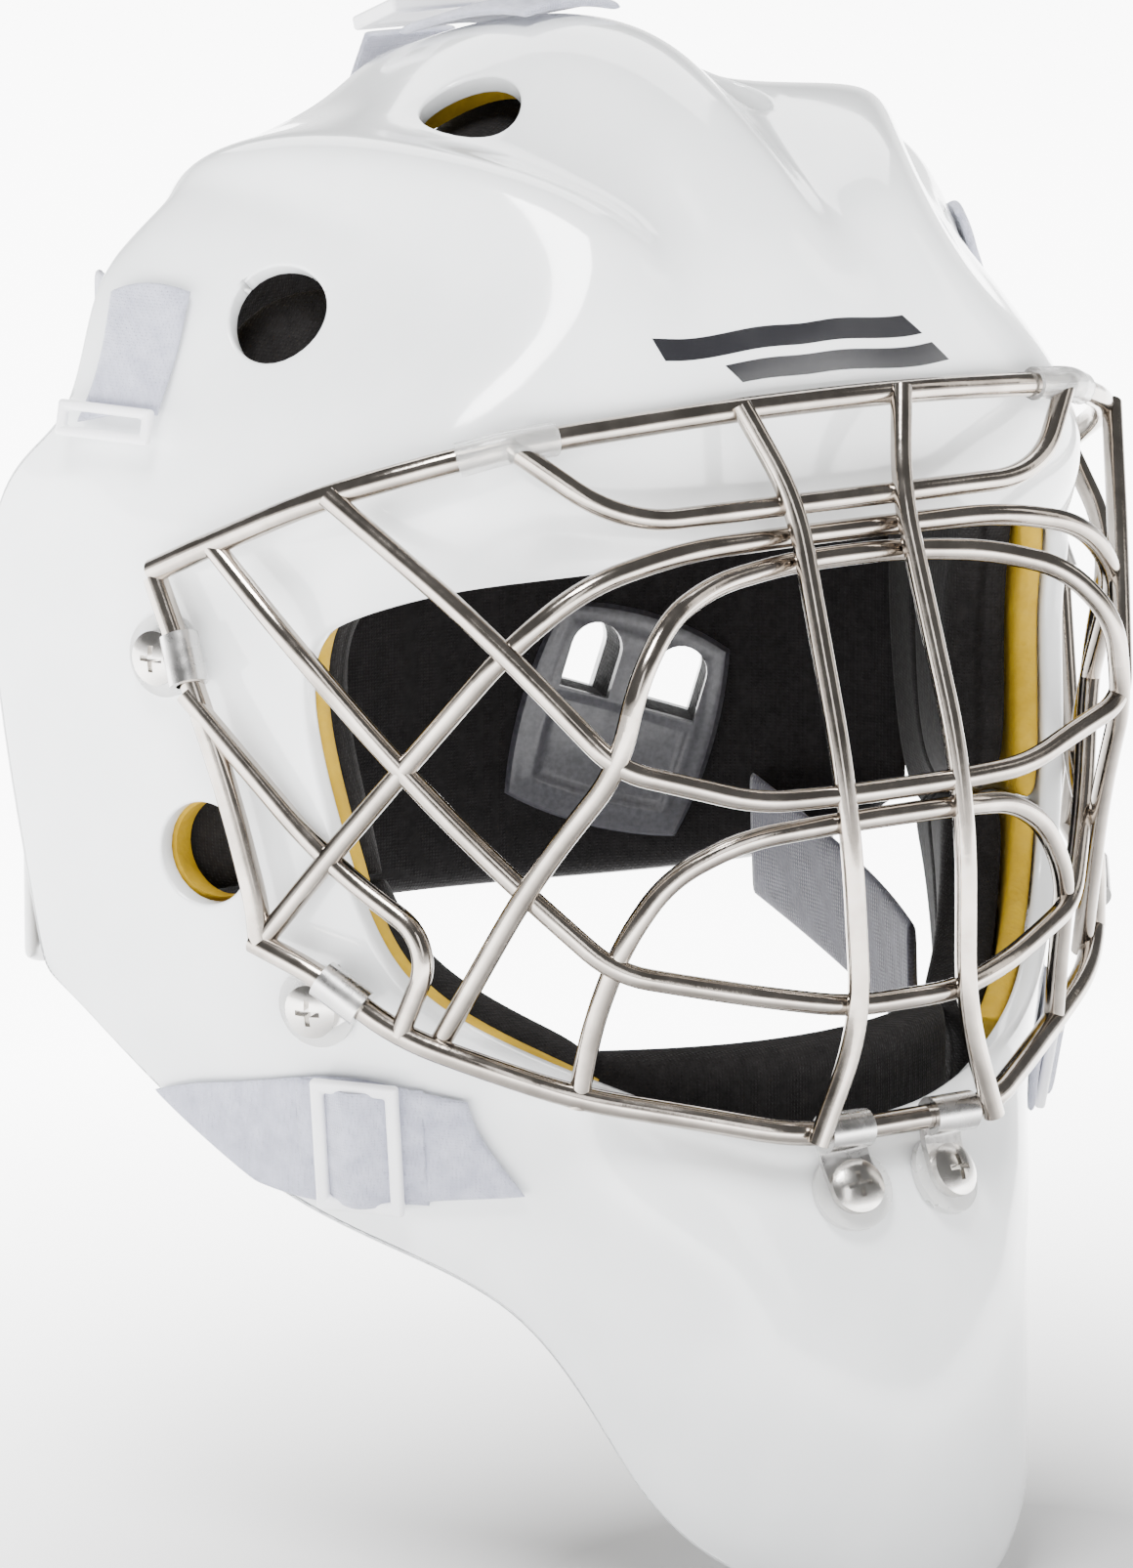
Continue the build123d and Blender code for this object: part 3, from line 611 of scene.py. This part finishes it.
CHIN_HALF_WIDTH, CHIN_FRONT, CHIN_BOW = 42.0, -83.5, 13.1
CHIN_LOW, CHIN_HIGH, CHIN_THICKNESS = -74.0, -37.0, 12.0
u, v = eased(90), eased(36)
reach = CHIN_HALF_WIDTH * (2 * u - 1)
chin_front = np.array([[(x, CHIN_FRONT + CHIN_BOW * (x / CHIN_HALF_WIDTH) ** 2,
                         CHIN_LOW + h * (CHIN_HIGH - CHIN_LOW)) for h in v] for x in reach])
chin = piece("pad_chin_foam",
             *rounded_slab(chin_front + (0, CHIN_THICKNESS, 0), chin_front, u, v, 20.0, 9.0),
             BLACK_PAD, slot="pad_foam")
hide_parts("pad_chin")

# ---- backplate --------------------------------------------------------------------------------------
BACK_HALF_WIDTH, BACK_DEPTH, BACK_CENTRE_Y = 116.0, 85.0, 5.0
BACK_TURN, WING_START, WING_TURN = math.radians(60), math.radians(58), math.radians(76)
BACK_LOW, BACK_HIGH, BACK_LOW_ROUNDING, BACK_HIGH_ROUNDING = -40.0, 104.0, 8.5, 31.0
BACKPLATE_THICKNESS, BACK_FOAM, WING_INSET = 3.0, 15.0, 12.3
FRAME_ANGLE, FRAME_HEIGHT, FRAME_SIZE, FRAME_TILT = 33.5, -3.5, (38.0, 42.0), math.radians(-17)
FRAME_RADIUS = 92.0        # of the foam's inside, turns widths into angles
UPPER_DRAW, UPPER_START, UPPER_REACH = 0.2, 25.0, 80.0    # the upper part draws inwards
WINDOWS = [(-9.5, 8.5), (9.5, 8.5)]
WINDOW_WIDTH, WINDOW_HEIGHT = 11.0, 15.0


def back_point(turn, height, inset):
    share = 1 - UPPER_DRAW * (max(0.0, height - UPPER_START) / UPPER_REACH) ** 2
    return ((BACK_HALF_WIDTH - inset) * share * math.sin(turn),
            BACK_CENTRE_Y + (BACK_DEPTH - inset) * share * math.cos(turn), height)


def wing_inset(turn):
    share = max(0.0, (abs(turn) - WING_START) / (WING_TURN - WING_START))
    start = BACKPLATE_THICKNESS + LAYER_GAP
    return start + share * (WING_INSET - start)


def back_layer(reach, inset, u, v, margin=0.0):
    rows = []
    for turn in (2 * u - 1) * reach:
        edge = abs(turn / BACK_TURN) ** 4
        low = BACK_LOW + BACK_LOW_ROUNDING * edge + margin
        high = BACK_HIGH - BACK_HIGH_ROUNDING * edge - margin
        depth = inset(turn) if callable(inset) else inset
        rows.append([back_point(turn, low + h * (high - low), depth) for h in v])
    return np.array(rows)


def frame_point(across, up, inset, side=1):
    across, up = (across * math.cos(FRAME_TILT) - up * math.sin(FRAME_TILT),
                  across * math.sin(FRAME_TILT) + up * math.cos(FRAME_TILT))
    turn = math.radians(FRAME_ANGLE) + across / FRAME_RADIUS
    x, y, z = back_point(turn, FRAME_HEIGHT + up, inset)
    return np.array([side * x, y, z])


def window_prism(across, up, side, depth=30):
    centre = frame_point(across, up, BACK_FOAM, side)
    above = frame_point(across, up + 1, BACK_FOAM, side)
    beside = frame_point(across + 1, up, BACK_FOAM, side)
    normal = np.cross(above - centre, beside - centre)
    return arch_prism(plane_at(centre, normal, above), WINDOW_WIDTH, WINDOW_HEIGHT, depth)


ALL_WINDOWS = [window_prism(across, up, side) for side in (1, -1) for across, up in WINDOWS]
u, v = eased(110), eased(60)
plate = piece("backplate_moulding", *rounded_slab(back_layer(BACK_TURN, BACKPLATE_THICKNESS, u, v),
                                                  back_layer(BACK_TURN, 0, u, v), u, v, 90.0, 90.0),
              BACK_WHITE, "backplate", "backplate_plastic")
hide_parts("backplate")
cut(plate, ALL_WINDOWS)
foam = piece("backplate_padding", *rounded_slab(back_layer(WING_TURN, BACK_FOAM, u, v, 2.0),
                                                back_layer(WING_TURN, wing_inset, u, v, 2.0),
                                                u, v, 60.0, 26.0),
             BACK_PAD, "backplate", "backplate_foam")
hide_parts("backplate_foam")
cut(foam, ALL_WINDOWS)


def frame_mesh(side, steps=60):
    """Moulded window frame: rounded corners, a step near its edge and a thinner lower half."""
    t = np.linspace(-1, 1, steps)
    width, height = FRAME_SIZE
    squash = 0.42
    layers = []
    for level in (0, 1):
        rows = []
        for p in t:
            row = []
            for q in t:
                a = p * math.sqrt(1 - squash * q * q / 2)
                b = q * math.sqrt(1 - squash * p * p / 2)
                rim = max(abs(p), abs(q))
                step = (0.5 / (1 + math.exp((rim - 0.80) * 60))
                        - 0.45 / (1 + math.exp((rim - 0.70) * 60)) * (q < 0.1))
                thick = (1.7 + step) * max(0.0, 1 - rim ** 30) ** 0.5
                row.append(frame_point(a * width / 1.8, b * height / 1.8,
                                       BACK_FOAM + 0.2 + (thick if level else 0), side))
            rows.append(row)
        layers.append(np.array(rows))
    return closed_grid(layers[0], layers[1]) if side > 0 else closed_grid(layers[1], layers[0])


for side, name in ((1, "left"), (-1, "right")):
    frame_piece = piece(f"backplate_window_{name}", *frame_mesh(side), CHARCOAL, "backplate",
                        "frame_plastic")
    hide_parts(f"backplate_frame_{name}")
    cut(frame_piece, ALL_WINDOWS)

# ---- straps and their plastic ----------------------------------------------------------------------
def strap_patch(stations, lift, thickness=STRAP_THICKNESS, steps=(70, 24), wave=0.25, seed=0.0):
    """Band of webbing over the shell through stations, each its top and bottom edge there."""
    u, v = eased(steps[0]), eased(steps[1])
    lines = spline_through(stations, u * (len(stations) - 1))
    base = np.zeros((len(u), len(v), 3))
    normal = np.zeros_like(base)
    for i, (top, bottom) in enumerate(lines):
        for j, w in enumerate(v):
            base[i, j], normal[i, j] = on_surface((1 - w) * top + w * bottom)
    ripple = wave * (np.sin(9 * u + seed)[:, None] * np.cos(5 * v + seed)[None, :] + 1)[..., None]
    low = base + (lift + ripple) * normal
    return rounded_slab(low + thickness * normal, low, u, v, 60.0, 14.0)


def ribbon(points, across, thickness, steps=(60, 16), bow=0.0):
    """Flat band through points with rounded edges; 'across' gives its width as a vector."""
    places = np.linspace(0, len(points) - 1, steps[0])
    path = spline_through(np.array(points, float), places)
    across = np.array(across, float)
    run = np.gradient(path, axis=0)
    normal = np.cross(run, across)
    normal /= np.linalg.norm(normal, axis=1, keepdims=True)
    w = 0.5 - 0.5 * np.cos(np.linspace(0, math.pi, steps[1]))
    full = np.clip(1 - np.abs(2 * w - 1) ** 12, 0, 1) ** 0.5
    flat = path[:, None] + (w - 0.5)[None, :, None] * across
    arch = bow * (1 - (2 * w - 1) ** 2)
    top = flat + (arch + thickness / 2 * full)[None, :, None] * normal[:, None]
    bottom = flat + (arch - thickness / 2 * full)[None, :, None] * normal[:, None]
    return closed_grid(top, bottom)


def moulded_frame(name, matrix, length, width, bar, height, bars, material, slot, body="mask", soft=0.8):
    """Rectangular plastic ring with cross-bars, its corners rounded."""
    xs = [-length / 2]
    centres = [(k + 1) * length / (bars + 1) - length / 2 for k in range(bars)]
    xs += [-length / 2 + bar]
    for c in centres:
        xs += [c - bar / 2, c + bar / 2]
    xs += [length / 2 - bar, length / 2]
    ys = [-width / 2, -width / 2 + bar, width / 2 - bar, width / 2]
    points, faces, index = [], [], {}

    def corner(i, j, level):
        key = (i, j, level)
        if key not in index:
            index[key] = len(points)
            points.append((xs[i] * MM, ys[j] * MM, level * height / 2 * MM))
        return index[key]

    solid = {(i, j) for i in range(len(xs) - 1) for j in range(3) if j != 1 or i % 2 == 0}
    for i, j in solid:
        for level in (1, -1):
            quad = [corner(i, j, level), corner(i + 1, j, level), corner(i + 1, j + 1, level),
                    corner(i, j + 1, level)]
            faces.append(quad if level == 1 else quad[::-1])
        for (di, dj), (a, b) in {(0, -1): ((0, 0), (1, 0)), (1, 0): ((1, 0), (1, 1)),
                                 (0, 1): ((1, 1), (0, 1)), (-1, 0): ((0, 1), (0, 0))}.items():
            if (i + di, j + dj) not in solid:
                p, q = (i + a[0], j + a[1]), (i + b[0], j + b[1])
                faces.append([corner(*q, 1), corner(*p, 1), corner(*p, -1), corner(*q, -1)])
    mesh = bpy.data.meshes.new(name)
    mesh.from_pydata(points, [], faces)
    mesh.transform(matrix)
    mesh.update()
    mesh.materials.append(material)
    mesh.polygons.foreach_set("use_smooth", [True] * len(mesh.polygons))
    ring = bpy.data.objects.new(name, mesh)
    bpy.context.scene.collection.objects.link(ring)
    bevel = ring.modifiers.new("rounding", "BEVEL")
    bevel.width = soft * MM
    bevel.segments = 4
    bevel.limit_method = "ANGLE"
    ring.modifiers.new("normals", "WEIGHTED_NORMAL")
    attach(ring, body)
    return ring


STRAP_LIFT = 0.4
JAW_STRAP = [[(10.25, 1.2), (10.95, 2.8)], [(9.72, 1.9), (10.52, 4.3)], [(9.5, 3.7), (10.2, 5.9)],
             [(9.5, 6.85), (9.95, 6.97)]]
TEMPLE_STRAP = [[(5.2, 5.0), (5.2, 6.4)], [(5.78, 4.15), (5.98, 5.95)]]
TOP_STRAP = [[(-0.65, 5.9), (0.65, 5.9)], [(-0.65, 6.85), (0.65, 6.85)]]
for name, stations in (("strap_jaw", JAW_STRAP), ("strap_temple", TEMPLE_STRAP)):
    pair(name + "_web", *strap_patch(stations, STRAP_LIFT), WEB, slot="strap_web", replaces=name)
top_web = piece("strap_top_web", *strap_patch(TOP_STRAP, 1.5), WEB, slot="strap_web")
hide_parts("strap_top")

STRAP_TOP = STRAP_LIFT + STRAP_THICKNESS
FOLD = [(-13, 0, -2.9), (-8, 0, -2.2), (-4.2, 0, 0.1), (0, 0, 2.05), (4.2, 0, 0.1), (8, 0, -2.2),
        (13, 0, -2.9)]         # the strap's way over a tri-glide's middle bar, in the tri-glide's frame
FOLD_WIDTH, FOLD_THICKNESS = 24, 1.7
for side, flip in (("right", 1), ("left", -1)):
    for name, place, towards, lift, shape in (
            ("triglide", (10.08, 3.25), (10.6, 2.2), STRAP_TOP + 2.15, (18, 27, 2.6, 2.2, 1)),
            ("strap_loop", (5.92, 5.0), (5.96, 6.0), STRAP_TOP + 1.6, (21, 7, 2.0, 2.2, 0))):
        origin, normal = on_surface(place, lift)
        target = on_surface(towards)[0]
        flipper = np.array([flip, 1, 1])
        place_frame = plane_at(origin * flipper, normal * flipper, target * flipper)
        ring = moulded_frame(f"{name}_moulding_{side}", place_frame, *shape, MOULDED, "strap_plastic")
        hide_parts(f"{name}_{side}")
        if name == "triglide":
            fold, fold_faces = ribbon(FOLD, (0, FOLD_WIDTH, 0), FOLD_THICKNESS)
            fold = [tuple((place_frame @ (Vector(point) * MM)) / MM) for point in fold]
            piece(f"strap_fold_{side}", fold, fold_faces, WEB, slot="strap_web")
ring = moulded_frame("buckle_moulding", plane_at((0, 47.5, 150.5), (0, 0.35, 0.94), (10, 47.5, 150.5)),
                     32, 16, 3.0, 3.0, 0, MOULDED, "strap_plastic")
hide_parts("buckle_top")

BAND_WIDTH = 22.0
TEMPLE_BAND = [(-84, 10, 97), (-84.5, 25, 98), (-81, 44, 97), (-71.5, 62.5, 95)]
TEMPLE_BAND_WIDTH = 14.0
TOP_BAND = [(0, 57.8, 145), (0, 66.2, 130), (0, 73, 114), (0, 76.5, 102.5), (0, 80, 92)]
JAW_BAND = [(-79, 47, -28), (-78, 24, -34.5), (-76, 0, -42), (-73, -16, -48)]
JAW_BAND_WIDTH = 26.0
for name, points, across, cloth, slot, start, end in (
        ("band_jaw", JAW_BAND, (1, 0, JAW_BAND_WIDTH), BAND, "band_web", (0, -0.014, -0.048),
         (0, 0.040, -0.030)),
        ("band_temple", TEMPLE_BAND, (0, 0, TEMPLE_BAND_WIDTH), WEB, "strap_web", (0, 0.012, 0.097),
         (0, 0.056, 0.096))):
    for band in pair(name + "_web", *ribbon(points, across, STRAP_THICKNESS), cloth, None, slot, name):
        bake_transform(band)
band = piece("band_top_web", *ribbon(TOP_BAND, (BAND_WIDTH, 0, 0), STRAP_THICKNESS), WEB,
             None, "strap_web")
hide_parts("band_top")
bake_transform(band)

# ---- plain printed stripes on the forehead ----------------------------------------------------------
PRINT_LIFT = 0.06


def printed(name, low_left, low_right, high_left, high_right):
    """Thin printed patch just proud of the shell. Corners are (around, along), around signed by side."""
    rows = []
    for s in np.linspace(0, 1, 4):
        row = []
        for t in np.linspace(0, 1, 60):
            place = [(1 - s) * ((1 - t) * low_left[k] + t * low_right[k])
                     + s * ((1 - t) * high_left[k] + t * high_right[k]) for k in (0, 1)]
            row.append(on_surface(tuple(place), PRINT_LIFT)[0])
        rows.append(row)
    grid = np.array(rows)
    points, cols = grid.reshape(-1, 3), grid.shape[1]
    faces = [(i * cols + j, i * cols + j + 1, (i + 1) * cols + j + 1, (i + 1) * cols + j)
             for i in range(grid.shape[0] - 1) for j in range(cols - 1)]
    return piece(name, points, faces, PRINT, slot="shell")


printed("stripe_upper", (2.25, 2.02), (-2.2, 2.02), (2.45, 2.22), (-2.0, 2.22))
printed("stripe_lower", (1.2, 1.72), (-2.5, 1.72), (1.45, 1.92), (-2.3, 1.92))

# ---- stage, light and camera ----------------------------------------------------------------------
floor_mesh = bpy.data.meshes.new("floor")
FLOOR_LEVEL = cad_box[0][2] - 0.0005
FLOOR_REACH = 6
# Painted light: the floor's glow, weak near the object and strong away from it.
GLOW_CENTRE = (0, -0.12, FLOOR_LEVEL)
GLOW_NEAR, GLOW_FAR, GLOW_START, GLOW_END = 0.3, 9.0, 0.08, 0.5
WORLD_HORIZON, WORLD_ABOVE, WORLD_START, WORLD_END = 2.4, 0.22, 0.06, 0.22
floor_mesh.from_pydata([(x * FLOOR_REACH, y * FLOOR_REACH, FLOOR_LEVEL)
                        for x, y in ((-1, -1), (1, -1), (1, 1), (-1, 1))], [], [(0, 1, 2, 3)])
floor = bpy.data.objects.new("floor", floor_mesh)
bpy.context.scene.collection.objects.link(floor)
floor_paint_and_glow, floor_tree, floor_shader = node_material("floor_paint_and_glow")
floor_tree.links.new(tinted(floor_tree, ramp(floor_tree, noise(floor_tree, 3), 0, 1), (0.36, 0.36, 0.36),
                            (0.39, 0.39, 0.39)), floor_shader.inputs["Base Color"])
floor_shader.inputs["Roughness"].default_value = 0.9
floor_shader.inputs["Emission Color"].default_value = (1, 1, 1, 1)
# Painted light: the floor glows away from the object, so that it is white behind it and casts little
# light on it; its glow is dim near the object, a painted shade round it.
middle = add(floor_tree, "ShaderNodeVectorMath", operation="DISTANCE")
floor_tree.links.new(add(floor_tree, "ShaderNodeTexCoord").outputs["Object"], middle.inputs[0])
middle.inputs[1].default_value = GLOW_CENTRE
glow = ramp(floor_tree, middle.outputs["Value"], GLOW_NEAR, GLOW_FAR, GLOW_START, GLOW_END)
floor_tree.links.new(glow, floor_shader.inputs["Emission Strength"])
floor_mesh.materials.append(floor_paint_and_glow)

world = bpy.data.worlds.new("studio")
world.use_nodes = True
bpy.context.scene.world = world
background = world.node_tree.nodes["Background"]
background.inputs["Color"].default_value = (1, 1, 1, 1)
# The world is bright near the horizon and dim above it.
direction = add(world.node_tree, "ShaderNodeSeparateXYZ")
world.node_tree.links.new(add(world.node_tree, "ShaderNodeTexCoord").outputs["Generated"],
                          direction.inputs["Vector"])
strength = ramp(world.node_tree, direction.outputs["Z"], WORLD_HORIZON, WORLD_ABOVE,
                WORLD_START, WORLD_END)
world.node_tree.links.new(strength, background.inputs["Strength"])


def soft_light(name, place, aim, size, power, colour=(1, 1, 1)):
    data = bpy.data.lights.new(name, "AREA")
    data.shape = "RECTANGLE"
    data.size, data.size_y = size
    data.energy = power
    data.color = colour
    lamp = bpy.data.objects.new(name, data)
    lamp.location = place
    lamp.rotation_euler = (Vector(aim) - Vector(place)).to_track_quat("-Z", "Y").to_euler()
    bpy.context.scene.collection.objects.link(lamp)


soft_light("key", (-0.8, -0.6, 2.0), (0, 0, 0.05), (0.8, 0.8), 98)
soft_light("front", (-0.9, -2.2, 0.9), (0, 0, 0), (0.6, 1.2), 9)
soft_light("fill", (1.9, -0.8, 0.9), (0, 0, 0), (0.5, 1.4), 6, (1.0, 0.96, 0.9))
soft_light("back", (0.9, 1.5, 1.6), (0.3, 0.8, -0.14), (2.0, 1.6), 60)

AZIMUTH, ELEVATION, DISTANCE = math.radians(-35), math.radians(11.6), 1.9
AIM = Vector((-0.002, 0, 0))
eye = AIM + DISTANCE * Vector((math.sin(AZIMUTH) * math.cos(ELEVATION),
                               -math.cos(AZIMUTH) * math.cos(ELEVATION), math.sin(ELEVATION)))
camera_data = bpy.data.cameras.new("camera")
camera_data.sensor_fit = "VERTICAL"
camera_data.sensor_height = 36
camera_data.lens = 218.6
camera = bpy.data.objects.new("camera", camera_data)
camera.location = eye
camera.rotation_euler = (AIM - eye).to_track_quat("-Z", "Y").to_euler()
bpy.context.scene.collection.objects.link(camera)
bpy.context.scene.camera = camera
